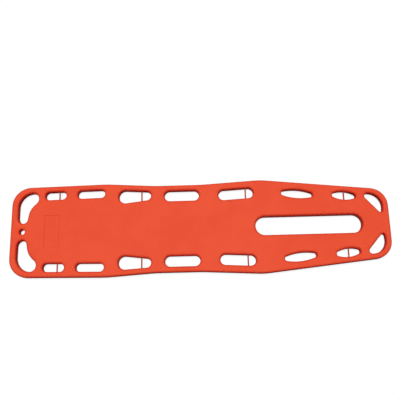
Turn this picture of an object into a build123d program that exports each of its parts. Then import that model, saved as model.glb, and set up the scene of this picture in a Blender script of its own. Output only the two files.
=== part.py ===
from build123d import *
import os
from math import acos, atan, atan2, cos, degrees, radians, sin, tan

os.makedirs("parts", exist_ok=True)

# A spine board for carrying a patient: one seamless moulded shell, filled with rigid foam.
# Sizes are in millimetres. +X points to the foot end, +Y to the patient's left and +Z up.
# The origin is under the middle of the board, on the surface that the runners stand on.

# Outline: a side runs straight from corner to corner, and each corner is rounded
board_length = 1840.0
head_half_width = 221.5
shoulder_from_head = 467.0
shoulder_half_width = 230.2
waist_x = -103.5
waist_length = 223.0
waist_half_width = 215.1
hip_from_foot = 617.0
hip_half_width = 231.2
foot_half_width = 166.5
head_corner_r = 92.0
shoulder_r = 700.0
waist_r = 800.0
hip_r = 320.0
foot_corner_r = 88.0

# Heights: the runners stand lowest, then the middle of the underside, then the rim
runner_height = 9.0
belly_depth = 5.0
rim_thickness = 36.0
deck_edge_r = 8.0
lower_edge_bevel = 5.0

# Shell and filling: the plastic gathers where a hole is moulded through the board
skin_wall = 3.0
side_wall = 5.0
hole_wall = 6.0
foam_gap = 0.5

# Hand holes: each is set in from the side of the board by a rim that the hand closes round
small_slot_width = 39.5
large_slot_width = 51.0
lens_width = 41.3
lens_tip_r = 12.2
chest_wide_r = 32.1
chest_narrow_r = 22.6
hand_hole_bevel = 6.0

# Row of hand holes from head to foot, with the bridge before each, its length and its rim
hand_hole_row = {
    "shoulder": (33.0, 101.9, 27.6),
    "upper_arm": (57.6, 133.9, 27.6),
    "chest": (69.8, 157.0, 29.0),
    "waist": (67.0, 169.3, 27.9),
    "hip": (96.2, 170.0, 35.9),
    "knee": (137.9, 152.6, 36.2),
    "ankle": (95.8, 113.6, 26.8),
}
last_bridge = 26.9

# Corners of the holes at the ends: distance from the end of the board, then from the middle line
# for the inner corners or from the side for the outer ones, and radius
head_hole_inner = ((34.0, 60.0, 32.0), (71.0, 13.0, 21.0))
head_hole_outer = ((88.0, 110.1, 91.0), (130.5, 71.4, 29.0), (126.0, 25.8, 28.0), (33.0, 36.1, 72.0))
foot_hole_inner = ((32.0, 41.0, 9.5),)
foot_hole_outer = ((127.0, 30.3, 14.0), (21.0, 20.2, 66.0))

# Middle of the board
leg_slot_from_foot = 132.8
leg_slot_length = 515.8
leg_slot_width = 91.4
leg_slot_bevel = 6.0
hang_hole_r = 12.5
hang_hole_from_end = 55.5
hang_hole_bevel = 4.0
label_from_head = 197.0
label_length = 80.0
label_width = 154.0
label_corner_r = 6.0
label_recess_depth = 0.8

# Underside: a belly between the rows of hand holes carries two runners
belly_from_head = 98.0
belly_from_foot = 85.0
belly_half_width = 107.0
belly_corner_r = 55.0
belly_bevel = 6.0
runner_y = 80.0
runner_width = 34.0
runner_from_end = 280.0
runner_ramp = 45.0
runner_edge_r = 6.0

# Strap pins: a rod across a hand hole, its ends in blind sockets moulded behind the hole's wall
pin_r = 3.5
pin_socket_clearance = 0.2
pin_end_play = 0.5
pin_boss_width = 18.0
pin_boss_depth = 14.0
pin_boss_end_wall = 2.5

# Holes with a strap pin, each with the pin's distance from the hole's middle
pin_along = {"shoulder": 17.2, "chest": 33.0, "hip": 48.0, "ankle": 1.2}

# Stiffening rods, bedded in the foam on both sides of the leg slot
rod_r = 6.0
rod_clearance = 0.3
rod_y = 80.0
rod_from_head = 140.0
rod_from_foot = 165.0

# Plugs that close the foam's filling hole and vent hole, flush with the underside
fill_plug_before_leg_slot = 211.4
vent_plug_from_head = 360.0
plug_head_r = 14.0
plug_head_thickness = 2.0
plug_stem_r = 9.0
plug_clearance = 0.25
plug_boss_wall = 3.5
plug_boss_height = 5.5

# Worked-out heights and places
belly_z = runner_height
rim_z = belly_z + belly_depth
deck_z = rim_z + rim_thickness
pin_z = rim_z + rim_thickness / 2
rod_z = (belly_z + deck_z) / 2
head_x = -board_length / 2
foot_x = board_length / 2
leg_slot_foot_x = foot_x - leg_slot_from_foot
leg_slot_head_x = leg_slot_foot_x - leg_slot_length
plug_x = {
    "fill_plug": leg_slot_head_x - fill_plug_before_leg_slot,
    "vent_plug": head_x + vent_plug_from_head,
}

# How near a face lies to its height, and a hole to the middle line, to count as there
height_tolerance = 0.01
middle_tolerance = 1.0


def side_corners():
    """Corners of the left side from the head to the foot, each with its radius."""
    return [
        (head_x, head_half_width, head_corner_r),
        (head_x + shoulder_from_head, shoulder_half_width, shoulder_r),
        (waist_x - waist_length / 2, waist_half_width, waist_r),
        (waist_x + waist_length / 2, waist_half_width, waist_r),
        (foot_x - hip_from_foot, hip_half_width, hip_r),
        (foot_x, foot_half_width, foot_corner_r),
    ]


def side_at(x):
    """Half width of the board at x, before its corners are rounded, and the side's slope there."""
    corners = side_corners()
    for (x0, y0, _), (x1, y1, _) in zip(corners, corners[1:]):
        if x <= x1:
            break
    slope = (y1 - y0) / (x1 - x0)
    return y0 + slope * (x - x0), degrees(atan(slope))


def inside_side(x, inset):
    """Point at x on the left half, set in from the side."""
    return Vector(x, side_at(x)[0] - inset)


def rounded_face(corners):
    """Face inside straight sides whose corners are rounded, each as far as its two sides allow."""
    points = [Vector(x, y) for x, y, _ in corners]
    count = len(points)
    reach = []
    for i, (_, _, radius) in enumerate(corners):
        back = points[i - 1] - points[i]
        ahead = points[(i + 1) % count] - points[i]
        reach.append(radius / tan(radians(back.get_angle(ahead) / 2)))
    radii = []
    for i, (_, _, radius) in enumerate(corners):
        before = (points[i - 1] - points[i]).length / (reach[i - 1] + reach[i])
        after = (points[(i + 1) % count] - points[i]).length / (reach[i] + reach[(i + 1) % count])
        radii.append(radius * min(1, 0.999 * before, 0.999 * after))
    return make_face(FilletPolyline(*points, radius=radii, close=True))


def lens_face(length, width, tip_r):
    """Hole with two bowed sides and round tips, along X."""
    reach = length / 2 - tip_r
    bow = width / 2 - tip_r
    above = ThreePointArc((-reach, 0), (0, bow), (reach, 0))
    below = ThreePointArc((reach, 0), (0, -bow), (-reach, 0))
    return offset(make_face([above, below]), amount=tip_r)


def tapered_slot_face(span, wide_r, narrow_r):
    """Hole round two circles of different sizes, the wide one at the origin, the other along X."""
    lean = acos((wide_r - narrow_r) / span)
    wide_touch = Vector(wide_r * cos(lean), wide_r * sin(lean))
    narrow_touch = Vector(span + narrow_r * cos(lean), narrow_r * sin(lean))
    upper = Line(wide_touch, narrow_touch)
    narrow_end = ThreePointArc(narrow_touch, (span + narrow_r, 0), (narrow_touch.X, -narrow_touch.Y))
    wide_end = ThreePointArc((wide_touch.X, -wide_touch.Y), (-wide_r, 0), wide_touch)
    return make_face([upper, narrow_end, mirror(upper, about=Plane.XZ), wide_end])


def straight_hole(x, rim, outline):
    """Hole that runs along the side of the board: where it lies, and its outline there."""
    middle = inside_side(x, rim + outline.bounding_box().size.Y / 2)
    return Pos(middle.X, middle.Y) * Rot(0, 0, side_at(x)[1]), outline


def chest_hole(start, end, rim):
    """Tapered hole for large hands, wide at its head end: where it lies, and its outline there."""
    wide = inside_side(start + chest_wide_r, rim + chest_wide_r)
    narrow = inside_side(end - chest_narrow_r, rim + chest_narrow_r)
    axis = narrow - wide
    place = Pos(wide.X, wide.Y) * Rot(0, 0, degrees(atan2(axis.Y, axis.X)))
    return place, tapered_slot_face(axis.length, chest_wide_r, chest_narrow_r)


def hand_hole_ends():
    """Both ends along X of each hand hole: the bridges share the length that the holes leave."""
    bridges = sum(bridge for bridge, _, _ in hand_hole_row.values()) + last_bridge
    lengths = sum(length for _, length, _ in hand_hole_row.values())
    head_reach = max(along for along, _, _ in head_hole_outer)
    foot_reach = max(along for along, _, _ in foot_hole_outer)
    stretch = (board_length - head_reach - foot_reach - lengths) / bridges
    ends = {}
    x = head_x + head_reach
    for name, (bridge, length, _) in hand_hole_row.items():
        start = x + bridge * stretch
        x = start + length
        ends[name] = (start, x)
    return ends


def hand_holes():
    """Hand holes of the left side by name: where each one lies, and its outline there."""
    holes = {}
    for name, (start, end) in hand_hole_ends().items():
        rim = hand_hole_row[name][2]
        middle, length = (start + end) / 2, end - start
        if name == "chest":
            holes[name] = chest_hole(start, end, rim)
        elif name in ("knee", "ankle"):
            holes[name] = straight_hole(middle, rim, lens_face(length, lens_width, lens_tip_r))
        elif name in ("waist", "hip"):
            holes[name] = straight_hole(middle, rim, SlotOverall(length, large_slot_width))
        else:
            holes[name] = straight_hole(middle, rim, SlotOverall(length, small_slot_width))
    return holes


def hand_hole_block(place, outline, wall):
    """Straight-sided block round a hand hole, where the plastic gathers beside its ends."""
    box = outline.bounding_box()
    block = Rectangle(box.size.X + 2 * wall, box.size.Y + 2 * wall)
    return place * Pos(box.center().X, box.center().Y) * block


def corner_hole(end_x, inwards, inner, outer):
    """Outline of the left hole at an end, from its corners by the middle line and by the side."""
    corners = [(end_x + inwards * along, y, radius) for along, y, radius in inner]
    for along, inset, radius in outer:
        point = inside_side(end_x + inwards * along, inset)
        corners.append((point.X, point.Y, radius))
    return rounded_face(corners)


def corner_hole_faces():
    """Outlines of the holes in the left corners of the head end and the foot end."""
    head = corner_hole(head_x, 1, head_hole_inner, head_hole_outer)
    return [head, corner_hole(foot_x, -1, foot_hole_inner, foot_hole_outer)]


def face_at(part, z):
    """Largest flat face of a part that lies at height z."""
    low, high = z - height_tolerance, z + height_tolerance
    level = part.faces().filter_by(Plane.XY).filter_by_position(Axis.Z, low, high)
    return level.sort_by(SortBy.AREA)[-1]


def hole_edges(face, chosen):
    """Edges of the holes in a face whose middle passes a test."""
    edges = []
    for wire in face.inner_wires():
        if chosen(wire.bounding_box().center()):
            edges += wire.edges()
    return edges


def is_to_a_side(middle):
    """True for a hole to the left or right of the board's middle line."""
    return abs(middle.Y) > middle_tolerance


def is_hang_hole(middle):
    """True for the hole on the middle line at the head end."""
    return not is_to_a_side(middle) and middle.X < head_x + belly_from_head


def is_leg_slot(middle):
    """True for the long hole on the middle line between the legs."""
    return not is_to_a_side(middle) and middle.X > 0


def both_sides(shape):
    """A shape of the left side together with its mirror image."""
    return [shape, mirror(shape, about=Plane.XZ)]


def rim_plate(skin, side):
    """Plate of the board without holes, drawn in from its outer surfaces."""
    left = side_corners()
    right = [(x, -y, radius) for x, y, radius in reversed(left)]
    plan = offset(rounded_face(left + right), amount=-side)
    return extrude(Pos(0, 0, rim_z + skin) * plan, amount=rim_thickness - 2 * skin)


def belly(skin, side):
    """Deeper middle of the underside, with sloping sides, reaching up into the plate."""
    start, end = head_x + belly_from_head + side, foot_x - belly_from_foot - side
    plan = RectangleRounded(end - start, 2 * (belly_half_width - side), belly_corner_r - side)
    low = belly_z + skin
    block = extrude(Pos((start + end) / 2, 0, low) * plan, amount=pin_z - low)
    return chamfer(face_at(block, low).outer_wire().edges(), belly_bevel)


def runner(skin, side):
    """Runner under the belly, with a ramp at each end."""
    start, end = head_x + runner_from_end, foot_x - runner_from_end
    profile = make_face(
        Polyline(
            (start, pin_z),
            (start, belly_z),
            (start + runner_ramp, 0),
            (end - runner_ramp, 0),
            (end, belly_z),
            (end, pin_z),
            close=True,
        )
    )
    return extrude(Plane.XZ * offset(profile, amount=-skin), amount=runner_width / 2 - side, both=True)


def through_holes(hand_hole_plans, round_hole):
    """All that is cut through the board: hand holes, corner holes, hang hole and leg slot."""
    leg_slot = SlotOverall(leg_slot_length + 2 * round_hole, leg_slot_width + 2 * round_hole)
    plan = Pos((leg_slot_head_x + leg_slot_foot_x) / 2, 0) * leg_slot
    plan += Pos(head_x + hang_hole_from_end, 0) * Circle(hang_hole_r + round_hole)
    for hole in hand_hole_plans + [offset(hole, amount=round_hole) for hole in corner_hole_faces()]:
        for shape in both_sides(hole):
            plan += shape
    return extrude(plan, amount=deck_z)


def board_form(hand_hole_plans, skin=0.0, side=0.0, round_hole=0.0):
    """Board with the given hand holes, or its cavity when the thickness of each wall is given."""
    form = rim_plate(skin, side) + belly(skin, side)
    bar = runner(skin, side)
    if skin == 0:
        bar = fillet(runner_long_edges(bar), runner_edge_r)
    for shape in both_sides(Pos(0, runner_y) * bar):
        form += shape
    return form - through_holes(hand_hole_plans, round_hole)


def runner_long_edges(bar):
    """Lower edges of a runner that run from end to end."""
    lower = [edge for edge in bar.edges() if edge.center().Z < belly_z]
    return [edge for edge in lower if edge.bounding_box().size.Y < height_tolerance]


def board_outside():
    """Outer surface of the moulding, rounded at the deck's sides and bevelled at its holes."""
    form = board_form([place * outline for place, outline in hand_holes().values()])
    form = chamfer(hole_edges(face_at(form, deck_z), is_to_a_side), hand_hole_bevel)
    form = chamfer(hole_edges(face_at(form, deck_z), is_hang_hole), hang_hole_bevel)
    form = chamfer(hole_edges(face_at(form, deck_z), is_leg_slot), leg_slot_bevel)
    form = chamfer(face_at(form, rim_z).outer_wire().edges(), lower_edge_bevel)
    return fillet(face_at(form, deck_z).outer_wire().edges(), deck_edge_r)


def cavity_form(gap=0.0):
    """Room inside the shell, or what fills it with a gap all round."""
    plans = [hand_hole_block(*hole, hole_wall + gap) for hole in hand_holes().values()]
    plans += [pin_boss(*span, gap) for span in pin_spans().values()]
    return board_form(plans, skin_wall + gap, side_wall + gap, hole_wall + gap)


def pin_spans():
    """Each strap pin's x, and the low and high y of the left hand hole that it crosses."""
    spans = {}
    for name, along in pin_along.items():
        place, outline = hand_holes()[name]
        start, end = hand_hole_ends()[name]
        x = (start + end) / 2 + along
        box = (Line((x, 0), inside_side(x, 0)) & place * outline).bounding_box()
        spans[name] = (x, box.min.Y, box.max.Y)
    return spans


def pin_boss(x, low, high, gap):
    """Plan of the plastic round both ends of a strap pin, which reaches from skin to skin."""
    width = high - low + 2 * (pin_boss_depth + gap)
    return Pos(x, (low + high) / 2) * Rectangle(pin_boss_width + 2 * gap, width)


def along_pins(radius, depth):
    """Rods on the axes of all strap pins, reaching into the wall on both sides by a depth."""
    rods = {}
    for name, (x, low, high) in pin_spans().items():
        rod = Pos(x, (low + high) / 2, pin_z) * Rot(90, 0, 0) * Cylinder(radius, high - low + 2 * depth)
        rods[name + "_left"], rods[name + "_right"] = both_sides(rod)
    return rods


def plug_column(x, radius, low, high):
    """Upright cylinder on a plug's axis."""
    return Pos(x, 0, (low + high) / 2) * Cylinder(radius, high - low)


def board_shell():
    """Seamless moulded shell with pin sockets, plug seats and a bare recess for a label."""
    cavity = cavity_form()
    boss_r = plug_head_r + plug_clearance + plug_boss_wall
    for x in plug_x.values():
        cavity -= plug_column(x, boss_r, belly_z, belly_z + plug_boss_height)
    shell = board_outside() - cavity
    socket_depth = pin_boss_depth - pin_boss_end_wall
    for socket in along_pins(pin_r + pin_socket_clearance, socket_depth).values():
        shell -= socket
    for x in plug_x.values():
        shell -= plug_column(x, plug_head_r + plug_clearance, belly_z, belly_z + plug_head_thickness)
        shell -= plug_column(x, plug_stem_r + plug_clearance, belly_z, belly_z + plug_boss_height)
    recess = RectangleRounded(label_length, label_width, label_corner_r)
    place = Pos(head_x + label_from_head, 0, deck_z)
    return shell - extrude(place * recess, amount=-label_recess_depth)


def stiffener_rod(side, clearance=0.0):
    """Rod beside the leg slot, or its bed in the foam when a clearance is given."""
    start, end = head_x + rod_from_head - clearance, foot_x - rod_from_foot + clearance
    rod = Cylinder(rod_r + clearance, end - start)
    return Pos((start + end) / 2, side * rod_y, rod_z) * Rot(0, 90, 0) * rod


def foam_core():
    """Rigid foam that fills the shell round the rods, the pin bosses and the plugs."""
    core = cavity_form(foam_gap)
    boss_r = plug_head_r + plug_clearance + plug_boss_wall + foam_gap
    for x in plug_x.values():
        core -= plug_column(x, boss_r, belly_z, belly_z + plug_boss_height + foam_gap)
    for side in (1, -1):
        core -= stiffener_rod(side, rod_clearance)
    return core


def plug(x):
    """Push-in plug: a flat head with a round stem that closes the hole as far as the foam."""
    shoulder_z = belly_z + plug_head_thickness
    head = plug_column(x, plug_head_r, belly_z, shoulder_z)
    return head + plug_column(x, plug_stem_r, shoulder_z, belly_z + plug_boss_height)


nodes = {
    "board_shell": board_shell(),
    "foam_core": foam_core(),
    "stiffener_rod_left": stiffener_rod(1),
    "stiffener_rod_right": stiffener_rod(-1),
}
pin_depth = pin_boss_depth - pin_boss_end_wall - pin_end_play / 2
for place, pin in along_pins(pin_r, pin_depth).items():
    nodes["strap_pin_" + place] = pin
for plug_name, x in plug_x.items():
    nodes[plug_name] = plug(x)

for name, solid in nodes.items():
    export_step(solid, f"parts/{name}.step")
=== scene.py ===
from math import cos, pi, radians, sin

import bmesh
import bpy
from mathutils import Euler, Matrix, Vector


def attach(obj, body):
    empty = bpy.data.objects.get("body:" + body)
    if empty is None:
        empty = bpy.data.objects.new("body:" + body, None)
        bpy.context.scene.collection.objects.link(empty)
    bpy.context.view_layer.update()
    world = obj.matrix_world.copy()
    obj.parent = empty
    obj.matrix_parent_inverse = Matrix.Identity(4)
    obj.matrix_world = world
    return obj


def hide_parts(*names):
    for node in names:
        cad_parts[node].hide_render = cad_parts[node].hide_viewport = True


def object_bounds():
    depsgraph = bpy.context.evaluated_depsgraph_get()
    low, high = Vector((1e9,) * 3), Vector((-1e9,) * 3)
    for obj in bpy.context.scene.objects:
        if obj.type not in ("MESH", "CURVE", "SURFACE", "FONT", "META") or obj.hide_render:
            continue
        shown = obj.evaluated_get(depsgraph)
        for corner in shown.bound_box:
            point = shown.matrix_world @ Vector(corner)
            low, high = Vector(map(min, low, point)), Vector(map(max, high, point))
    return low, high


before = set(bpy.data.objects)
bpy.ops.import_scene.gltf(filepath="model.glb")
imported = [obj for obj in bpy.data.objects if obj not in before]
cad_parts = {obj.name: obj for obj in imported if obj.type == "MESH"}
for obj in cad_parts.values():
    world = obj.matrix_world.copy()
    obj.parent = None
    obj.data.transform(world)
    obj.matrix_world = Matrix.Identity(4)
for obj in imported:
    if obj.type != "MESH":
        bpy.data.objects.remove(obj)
cad_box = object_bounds()

# Lengths are in metres. +X points to the foot end of the board, +Y to the left of the person
# who lies on it, and +Z up.

MM = 0.001
level_tolerance = 0.02 * MM
weld_distance = 0.01 * MM
margin = 0.1 * MM


# Levels of the moulding, from the floor up

belly_z = 9 * MM
rim_z = 14 * MM
parting_z = 32 * MM
deck_z = cad_box[1].z
label_z = deck_z - 0.8 * MM

# Heights at which the shell's walls end and its bevels start. The skin has roundings there.

side_top = deck_z - 8 * MM
hole_top = deck_z - 6 * MM
hang_top = deck_z - 4 * MM
side_foot = rim_z + 5 * MM

# Roundings of the moulding: radius, and number of steps from the wall to the flat

side_round = (11 * MM, 7)
side_foot_round = (6 * MM, 6)
hole_round = (13.2 * MM, 8)
hole_foot_round = (2.5 * MM, 4)
hang_round = (13 * MM, 7)
hang_foot_round = (2 * MM, 4)
label_round = (0.5 * MM, 3)
plug_seat_round = (0.6 * MM, 3)
sharp = (0.0, 1)

# Strip of the flat level that each rounding carries round it
flat_margin = 0.8 * MM

# How far the label recess's head end lies nearer the foot in the photograph than on the shell
label_shift = 9 * MM

# What tells the rims of the underside apart: the hang hole and the plug seats are shorter than
# these, and the runners lie further from the centre line
short_hole = 30 * MM
short_seat = 50 * MM
runner_aside = 40 * MM

# How far up or down a face has to look to belong to the deck, the rim's underside or the belly
deck_facing, rim_facing, belly_facing = 0.02, -0.5, -0.99

# A corner of a rim moves at most 1 / mitre_limit times as far as the sides next to it
mitre_limit = 0.5

# Edges with a sharper turn than this stay sharp in the shading
corner_angle = radians(38)


# Colours: linear red, green and blue

orange_deep, orange_bright = (0.80, 0.078, 0.030), (0.84, 0.088, 0.035)
# The lighter of these two is real scuffing and worn soles, and also a painted sheen on roundings
orange_mottle, orange_wear_and_sheen = (0.76, 0.070, 0.027), (0.86, 0.24, 0.15)
# Painted shade: deeper, darker orange for upright walls and for the corner of the label recess
orange_wall_shade, orange_corner_shade = (0.74, 0.014, 0.003), (0.42, 0.020, 0.006)
nylon_deep, nylon_bright = (0.40, 0.038, 0.018), (0.50, 0.050, 0.025)
nylon_worn = (0.66, 0.12, 0.07)
foam_deep, foam_pale, foam_cell = (0.70, 0.57, 0.33), (0.80, 0.70, 0.46), (0.55, 0.42, 0.21)
fibre_deep, fibre_pale, resin_deep = (0.46, 0.44, 0.30), (0.72, 0.70, 0.55), (0.38, 0.34, 0.20)
plug_deep, plug_bright, plug_worn = (0.52, 0.030, 0.007), (0.62, 0.042, 0.010), (0.74, 0.15, 0.08)


# Light and camera

floor_reach = 6.0
floor_drop = 0.5 * MM
floor_tone = (0.12, 0.12, 0.12, 1.0)
floor_glow = 0.90
sky_light = 0.06
key_place, key_target = (-0.4, 1.2, 12.0), (0.0, 0.0, 0.0)
key_size, key_power = 2.0, 1370.0
camera_place = (0.03586, -0.58432, 2.7719)
camera_turn = (14.783, 0.999, -1.335)
camera_lens, camera_sensor = 51.75, 36.0


# Shader sockets as Python values


class Socket:
    """A shader socket whose sums and products add Math nodes."""

    def __init__(self, tree, link):
        self.tree, self.link = tree, link

    def maths(self, operation, *others):
        node = self.tree.nodes.new("ShaderNodeMath")
        node.operation = operation
        for slot, value in zip(node.inputs, (self, *others)):
            feed(self.tree, slot, value)
        return Socket(self.tree, node.outputs[0])

    def __add__(self, other):
        return self.maths("ADD", other)

    def __mul__(self, other):
        return self.maths("MULTIPLY", other)

    def __sub__(self, other):
        return self.maths("SUBTRACT", other)

    def __rsub__(self, other):
        return (self * -1.0) + other

    def __abs__(self):
        return self.maths("ABSOLUTE")

    __radd__ = __add__
    __rmul__ = __mul__


def feed(tree, slot, value):
    """Puts a socket or a plain value into an input."""
    if isinstance(value, Socket):
        tree.links.new(value.link, slot)
    else:
        slot.default_value = value


def in_use(sockets, name):
    """The socket of that name that the node's settings leave in use."""
    return next(socket for socket in sockets if socket.enabled and socket.name == name)


class Finish:
    """A material under construction, and the one way that its nodes are added."""

    def __init__(self, name):
        self.material = bpy.data.materials.new(name)
        self.material.use_nodes = True
        self.tree = self.material.node_tree
        self.tree.nodes.clear()
        self.place = self.node("ShaderNodeTexCoord", give="Object")

    def node(self, kind, settings=None, give=None, **inputs):
        """Adds a node: first its settings, then the values or links of its sockets."""
        node = self.tree.nodes.new(kind)
        for key, value in (settings or {}).items():
            setattr(node, key, value)
        for key, value in inputs.items():
            feed(self.tree, in_use(node.inputs, key.replace("_", " ")), value)
        if give:
            return Socket(self.tree, in_use(node.outputs, give))
        return node

    def axis(self, name):
        """One coordinate of the place on the piece."""
        return self.node("ShaderNodeSeparateXYZ", give=name, Vector=self.place)

    def noise(self, per_metre, detail=2.0, stretch=(1.0, 1.0, 1.0)):
        """Even noise around a half, with features of one metre over per_metre."""
        where = self.node("ShaderNodeMapping", give="Vector", Vector=self.place, Scale=stretch)
        return self.node(
            "ShaderNodeTexNoise", give="Fac", Vector=where, Scale=per_metre, Detail=detail
        )

    def step(self, value, low, high):
        """Rises smoothly from 0 to 1 as the value goes from low to high."""
        smooth = {"interpolation_type": "SMOOTHSTEP"}
        return self.node(
            "ShaderNodeMapRange", smooth, "Result", Value=value, From_Min=low, From_Max=high
        )

    def blend(self, share, one, other):
        """Goes from one colour to another."""
        ends = [c if isinstance(c, Socket) else (*c, 1.0) for c in (one, other)]
        return self.node(
            "ShaderNodeMix", {"data_type": "RGBA"}, "Result", Factor=share, A=ends[0], B=ends[1]
        )

    def bump(self, height):
        """Surface relief from a height in metres."""
        return self.node("ShaderNodeBump", give="Normal", Strength=1.0, Distance=1.0, Height=height)

    def coat(self, **inputs):
        """Closes the material with one surface shader."""
        shader = self.node("ShaderNodeBsdfPrincipled", give="BSDF", **inputs)
        self.node("ShaderNodeOutputMaterial", Surface=shader)
        return self.material


# Materials


def label_box():
    """Lowest and highest corner in plan of the label recess on the shell."""
    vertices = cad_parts["board_shell"].data.vertices
    floor = [vert.co for vert in vertices if at(vert.co.z, label_z)]
    return [Vector([pick(co[i] for co in floor) for i in (0, 1)]) for pick in (min, max)]


def label_corner_shade(finish):
    """Shade in the corner of the label recess, where the photograph has it."""
    low, high = label_box()
    low.x += label_shift
    sides = []
    for name, start, end in zip("XY", low, high):
        from_middle = finish.axis(name) - (start + end) / 2
        sides.append(abs(from_middle) - (end - start) / 2)
    from_edge = abs(sides[0].maths("MAXIMUM", sides[1]))
    on_deck = finish.step(finish.axis("Z"), label_z - 2 * MM, label_z - 1 * MM)
    return (1.0 - finish.step(from_edge, 0.4 * MM, 2.0 * MM)) * on_deck


def moulded_orange():
    """Rotationally moulded polyethylene: dense orange, fine mould grain, faint scuffs, painted
    shade on upright walls and in the label recess's corner, and a painted sheen on roundings.
    """
    finish = Finish("moulded_orange")
    facing = finish.node("ShaderNodeTexCoord", give="Normal")
    facing = finish.node("ShaderNodeSeparateXYZ", give="Z", Vector=facing)
    level = facing * facing
    wall_shade = 1.0 - finish.step(level, 0.0, 1.0)
    rounding = 4.0 * level * (1.0 - level)
    height = finish.axis("Z")
    sole = 1.0 - finish.step(height, 0.4 * MM, 2.5 * MM)

    cloudy = finish.step(finish.noise(9.0, 3.0), 0.3, 0.7)
    speckle = finish.noise(320.0)
    colour = finish.blend(cloudy, orange_deep, orange_bright)
    colour = finish.blend(finish.step(speckle, 0.35, 0.75) * 0.35, colour, orange_mottle)
    # Painted shade: upright walls, and roundings as they steepen, turn a deeper, darker orange
    colour = finish.blend(wall_shade * 0.9, colour, orange_wall_shade)
    # Painted shade along the corner of the label recess
    colour = finish.blend(label_corner_shade(finish) * 0.3, colour, orange_corner_shade)

    lengthwise = finish.noise(60.0, 3.0, stretch=(0.12, 4.0, 1.0))
    crosswise = finish.noise(55.0, 3.0, stretch=(3.0, 0.22, 1.0))
    scratch = finish.step(lengthwise, 0.66, 0.74) + finish.step(crosswise, 0.70, 0.77)
    patch = finish.step(finish.noise(7.0), 0.5, 0.7)
    rubbed = finish.step(finish.noise(130.0, 3.0), 0.45, 0.7)
    # Real scratches and worn soles, plus a lighter band on roundings that is partly rub wear and
    # partly painted sheen
    wear_and_sheen = scratch * patch * 0.16 + rounding * rubbed * 0.18 + sole * rubbed * 0.55
    colour = finish.blend(wear_and_sheen, colour, orange_wear_and_sheen)

    grain = finish.noise(1400.0) * (0.012 * MM)
    peel = finish.noise(55.0, 1.0) * (0.10 * MM)
    from_seam = abs(height - parting_z)
    seam = (1.0 - finish.step(from_seam, 0.15 * MM, 0.7 * MM)) * (0.15 * MM)
    return finish.coat(
        Base_Color=colour,
        Roughness=0.50 + speckle * 0.12 + wear_and_sheen * 0.25,
        Normal=finish.bump(grain + peel + seam - scratch * (0.01 * MM)),
        Specular_IOR_Level=0.05,
    )


def nylon_pin():
    """Dark orange-brown nylon, drawn lengthwise and polished by webbing."""
    finish = Finish("nylon_pin")
    drawn = finish.noise(260.0, stretch=(0.15, 1.0, 1.0))
    rubbed = finish.step(finish.noise(90.0, 3.0), 0.4, 0.7)
    colour = finish.blend(drawn, nylon_deep, nylon_bright)
    colour = finish.blend(rubbed * 0.3, colour, nylon_worn)
    return finish.coat(
        Base_Color=colour,
        Roughness=0.42 + rubbed * 0.2,
        Normal=finish.bump(drawn * (0.02 * MM) + finish.noise(1200.0) * (0.006 * MM)),
        Specular_IOR_Level=0.1,
    )


def cast_foam():
    """Rigid polyurethane foam: cream, with closed cells and denser streaks."""
    finish = Finish("cast_foam")
    cells = finish.node(
        "ShaderNodeTexVoronoi", {"feature": "F1"}, "Distance", Vector=finish.place, Scale=700.0
    )
    streak = finish.noise(14.0, 3.0, stretch=(0.5, 1.0, 2.0))
    colour = finish.blend(streak, foam_deep, foam_pale)
    colour = finish.blend(finish.step(cells, 0.35, 0.75) * 0.4, colour, foam_cell)
    return finish.coat(
        Base_Color=colour,
        Roughness=0.82 + streak * 0.1,
        Normal=finish.bump(cells * (-0.25 * MM) + finish.noise(120.0) * (0.3 * MM)),
    )


def glass_fibre():
    """Pultruded rod: pale resin over glass strands that run its whole length."""
    finish = Finish("glass_fibre")
    strands = finish.noise(900.0, 3.0, stretch=(0.02, 1.0, 1.0))
    resin = finish.noise(40.0, stretch=(0.4, 1.0, 1.0))
    colour = finish.blend(strands, fibre_deep, fibre_pale)
    colour = finish.blend(finish.step(resin, 0.5, 0.8) * 0.4, colour, resin_deep)
    return finish.coat(
        Base_Color=colour,
        Roughness=0.36 + strands * 0.2,
        Normal=finish.bump(strands * (0.06 * MM)),
    )


def plug_polymer():
    """Turned plug of a darker orange plastic, scuffed in patches."""
    finish = Finish("plug_polymer")
    mottle = finish.noise(240.0, 3.0)
    rubbed = finish.step(finish.noise(70.0), 0.45, 0.75)
    colour = finish.blend(mottle, plug_deep, plug_bright)
    colour = finish.blend(rubbed * 0.35, colour, plug_worn)
    return finish.coat(
        Base_Color=colour,
        Roughness=0.42 + mottle * 0.2,
        Normal=finish.bump(finish.noise(900.0) * (0.02 * MM) + rubbed * (0.03 * MM)),
    )


# Shapes


def at(z, level):
    """Whether a height is that of a level."""
    return abs(z - level) < level_tolerance


def show(name, shape, finish):
    """Puts a finished shape in the scene."""
    mesh = bpy.data.meshes.new(name)
    shape.to_mesh(mesh)
    shape.free()
    mesh.materials.append(finish)
    piece = bpy.data.objects.new(name, mesh)
    bpy.context.scene.collection.objects.link(piece)
    return piece


def frame_shape(node):
    """A copy of a node's shape with its loose triangles joined."""
    shape = bmesh.new()
    shape.from_mesh(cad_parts[node].data)
    bmesh.ops.remove_doubles(shape, verts=shape.verts, dist=weld_distance)
    return shape


def open_loops(shape):
    """The open rims of a shape, each as its vertices in order."""
    left = [edge for edge in shape.edges if edge.is_boundary]
    loops = []
    while left:
        loop = list(left.pop().verts)
        while len(loop) < 3 or loop[-1] is not loop[0]:
            edge = next(e for e in loop[-1].link_edges if e.is_boundary and loop[-2] not in e.verts)
            loop.append(edge.other_vert(loop[-1]))
            if edge in left:
                left.remove(edge)
        loops.append(loop[:-1])
    return loops


def span(loop):
    """Length of a rim along the board."""
    return max(vert.co.x for vert in loop) - min(vert.co.x for vert in loop)


def aside(loop):
    """How far the middle of a rim is from the board's centre line."""
    return abs(sum(vert.co.y for vert in loop) / len(loop))


def rim_edges(shape, loop):
    """Edges of a rim."""
    return [shape.edges.get((loop[i - 1], loop[i])) for i in range(len(loop))]


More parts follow.
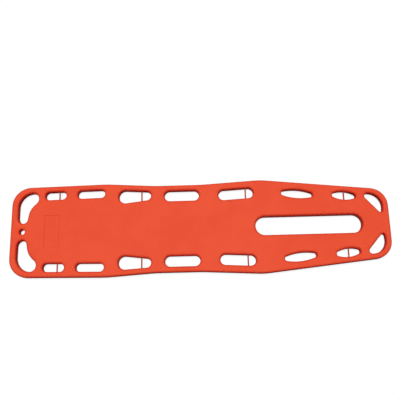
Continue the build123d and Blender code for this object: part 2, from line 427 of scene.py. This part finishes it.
def outward(loop):
    """At each vertex of a rim, the direction in plan that widens it evenly."""
    count = len(loop)
    turn = sum(loop[i - 1].co.xy.cross(loop[i].co.xy) for i in range(count))
    directions = []
    for i in range(count):
        before = (loop[i].co - loop[i - 1].co).xy.normalized()
        after = (loop[(i + 1) % count].co - loop[i].co).xy.normalized()
        across = Vector((before.y + after.y, -before.x - after.x)).normalized()
        reach = max(across.dot(Vector((after.y, -after.x))), mitre_limit)
        directions.append(across.to_3d() / reach * (1 if turn > 0 else -1))
    return directions


def next_rim(shape, loop):
    """Extrudes a rim and gives the new one, in the same order."""
    made = bmesh.ops.extrude_edge_only(shape, edges=rim_edges(shape, loop))["geom"]
    fresh = {item for item in made if isinstance(item, bmesh.types.BMVert)}
    return [
        next(e.other_vert(vert) for e in vert.link_edges if e.other_vert(vert) in fresh)
        for vert in loop
    ]


def roll(shape, loop, level, rounding, inward=False):
    """Rounds a wall's end over to a flat level, and returns the rim where the flat starts."""
    radius, steps = rounding
    rise = 1 if level > rim_z else -1
    directions = [-way if inward else way for way in outward(loop)]
    for vert in loop:
        vert.co.z = level - rise * radius
    places = [vert.co.copy() for vert in loop]
    turns = [k * (pi / 2 / steps) for k in range(1, steps + 1)]
    path = [(radius * (1 - cos(turn)), radius * sin(turn)) for turn in turns]
    for out, up in path + [(radius + flat_margin, radius)]:
        loop = next_rim(shape, loop)
        for vert, place, way in zip(loop, places, directions):
            vert.co = place + way * out
            vert.co.z = place.z + rise * up
    return loop


def fill(shape, loops, up):
    """Closes a flat level between its rims."""
    edges = [edge for loop in loops for edge in rim_edges(shape, loop)]
    bmesh.ops.triangle_fill(
        shape, use_beauty=True, use_dissolve=False, edges=edges, normal=(0, 0, up)
    )


def open_level(shape, chosen):
    """Takes away the faces that a rounded level replaces."""
    faces = [face for face in shape.faces if chosen(face, face.calc_center_median().z)]
    bmesh.ops.delete(shape, geom=faces, context="FACES")


def shift_label(shape):
    """Moves the head end of the label recess to where the photograph has it."""
    low, high = label_box()
    middle_x = (low.x + high.x) / 2
    for vert in shape.verts:
        x, y, z = vert.co
        if z > label_z - margin and low.x - margin < x < middle_x and abs(y) < high.y + margin:
            vert.co.x += label_shift


def deck(shape):
    """Deck with its rounded side, hand holes, hang hole and label recess."""
    shift_label(shape)
    open_level(shape, lambda face, z: face.normal.z > deck_facing and z > side_top and (
        not all(at(vert.co.z, label_z) for vert in face.verts)
    ))
    rims = []
    for loop in open_loops(shape):
        z = loop[0].co.z
        if at(z, side_top):
            rims.append(roll(shape, loop, deck_z, side_round, inward=True))
        elif at(z, hole_top):
            rims.append(roll(shape, loop, deck_z, hole_round))
        elif at(z, hang_top):
            rims.append(roll(shape, loop, deck_z, hang_round))
        else:
            rims.append(roll(shape, loop, deck_z, label_round))
    fill(shape, rims, 1)


def rim_underside(shape):
    """Underside of the rim, round the belly."""
    open_level(shape, lambda face, z: (
        face.normal.z < rim_facing and rim_z - margin < z < side_foot
    ))
    loops = open_loops(shape)
    belly = max((loop for loop in loops if at(loop[0].co.z, rim_z)), key=span)
    rims = []
    for loop in loops:
        if at(loop[0].co.z, side_foot):
            rims.append(roll(shape, loop, rim_z, side_foot_round, inward=True))
        elif loop is belly:
            rims.append(roll(shape, loop, rim_z, sharp))
        elif span(loop) < short_hole:
            rims.append(roll(shape, loop, rim_z, hang_foot_round))
        else:
            rims.append(roll(shape, loop, rim_z, hole_foot_round))
    fill(shape, rims, -1)


def belly_underside(shape):
    """Flat of the belly, round the leg slot, the runners and the plug seats."""
    open_level(shape, lambda face, z: face.normal.z < belly_facing and at(z, belly_z))
    loops = open_loops(shape)
    outline = max(loops, key=span)
    rims = []
    for loop in loops:
        if loop is outline:
            rims.append(roll(shape, loop, belly_z, sharp, inward=True))
        elif aside(loop) > runner_aside:
            rims.append(roll(shape, loop, belly_z, sharp))
        elif span(loop) < short_seat:
            rims.append(roll(shape, loop, belly_z, plug_seat_round))
        else:
            rims.append(roll(shape, loop, belly_z, hole_foot_round))
    fill(shape, rims, -1)


def shade(shape):
    """Smooth shading, apart from real corners."""
    bmesh.ops.remove_doubles(shape, verts=shape.verts, dist=weld_distance)
    for face in shape.faces:
        face.smooth = True
    for edge in shape.edges:
        edge.smooth = abs(edge.calc_face_angle_signed(0)) < corner_angle


def board_skin():
    """Board shell with the soft roundings of the moulding."""
    shape = frame_shape("board_shell")
    deck(shape)
    rim_underside(shape)
    belly_underside(shape)
    shade(shape)
    piece = show("board_skin", shape, moulded_orange())
    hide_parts("board_shell")
    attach(piece, "root")


board_skin()

finishes = {
    ("foam_core",): cast_foam(),
    ("stiffener_rod",): glass_fibre(),
    ("strap_pin",): nylon_pin(),
    ("fill_plug", "vent_plug"): plug_polymer(),
}
for name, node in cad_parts.items():
    for starts, finish in finishes.items():
        if name.startswith(starts):
            node.data.materials.clear()
            node.data.materials.append(finish)


# Floor


def floor_finish():
    """White floor that keeps the board's soft shadow."""
    finish = Finish("studio_floor")
    seen = finish.node("ShaderNodeLightPath", give="Is Camera Ray")
    seen += finish.node("ShaderNodeLightPath", give="Is Glossy Ray")
    seen += finish.node("ShaderNodeLightPath", give="Is Transmission Ray")
    paint = finish.node("ShaderNodeBsdfDiffuse", give="BSDF", Color=floor_tone)
    glow = finish.node("ShaderNodeEmission", give="Emission", Strength=floor_glow)
    white = finish.node("ShaderNodeAddShader")
    finish.tree.links.new(paint.link, white.inputs[0])
    finish.tree.links.new(glow.link, white.inputs[1])
    mix = finish.node("ShaderNodeMixShader", Fac=seen)
    finish.tree.links.new(paint.link, mix.inputs[1])
    finish.tree.links.new(white.outputs[0], mix.inputs[2])
    finish.node("ShaderNodeOutputMaterial", Surface=Socket(finish.tree, mix.outputs[0]))
    return finish.material


def floor():
    """Plain floor just under the runners."""
    shape = bmesh.new()
    bmesh.ops.create_grid(shape, x_segments=1, y_segments=1, size=floor_reach)
    bmesh.ops.translate(shape, verts=shape.verts, vec=(0.0, 0.0, -floor_drop))
    show("studio_floor", shape, floor_finish())


floor()


# Light


def softbox(name, place, target, size, power):
    """Square area lamp turned towards a point."""
    lamp = bpy.data.lights.new(name, "AREA")
    lamp.shape = "SQUARE"
    lamp.size = size
    lamp.energy = power
    light = bpy.data.objects.new(name, lamp)
    light.location = place
    aim = Vector(target) - Vector(place)
    light.rotation_euler = aim.to_track_quat("-Z", "Y").to_euler()
    bpy.context.scene.collection.objects.link(light)


def studio_world():
    """White to the eye and in reflections, and a dim even light on the board."""
    world = bpy.data.worlds.new("studio")
    world.use_nodes = True
    tree = world.node_tree
    path = tree.nodes.new("ShaderNodeLightPath")
    seen = Socket(tree, path.outputs["Is Camera Ray"])
    seen += Socket(tree, path.outputs["Is Glossy Ray"])
    seen += Socket(tree, path.outputs["Is Transmission Ray"])
    sky = tree.nodes["Background"]
    feed(tree, sky.inputs["Color"], (1.0, 1.0, 1.0, 1.0))
    feed(tree, sky.inputs["Strength"], seen * (1.0 - sky_light) + sky_light)
    return world


softbox("key", key_place, key_target, key_size, key_power)
bpy.context.scene.world = studio_world()
bpy.context.scene.view_settings.view_transform = "Standard"


# Camera: placed where the photograph's perspective puts it

view = bpy.data.cameras.new("camera")
view.lens = camera_lens
view.sensor_width = camera_sensor
camera = bpy.data.objects.new("camera", view)
camera.location = camera_place
camera.rotation_euler = Euler([radians(angle) for angle in camera_turn])
bpy.context.scene.collection.objects.link(camera)
bpy.context.scene.camera = camera
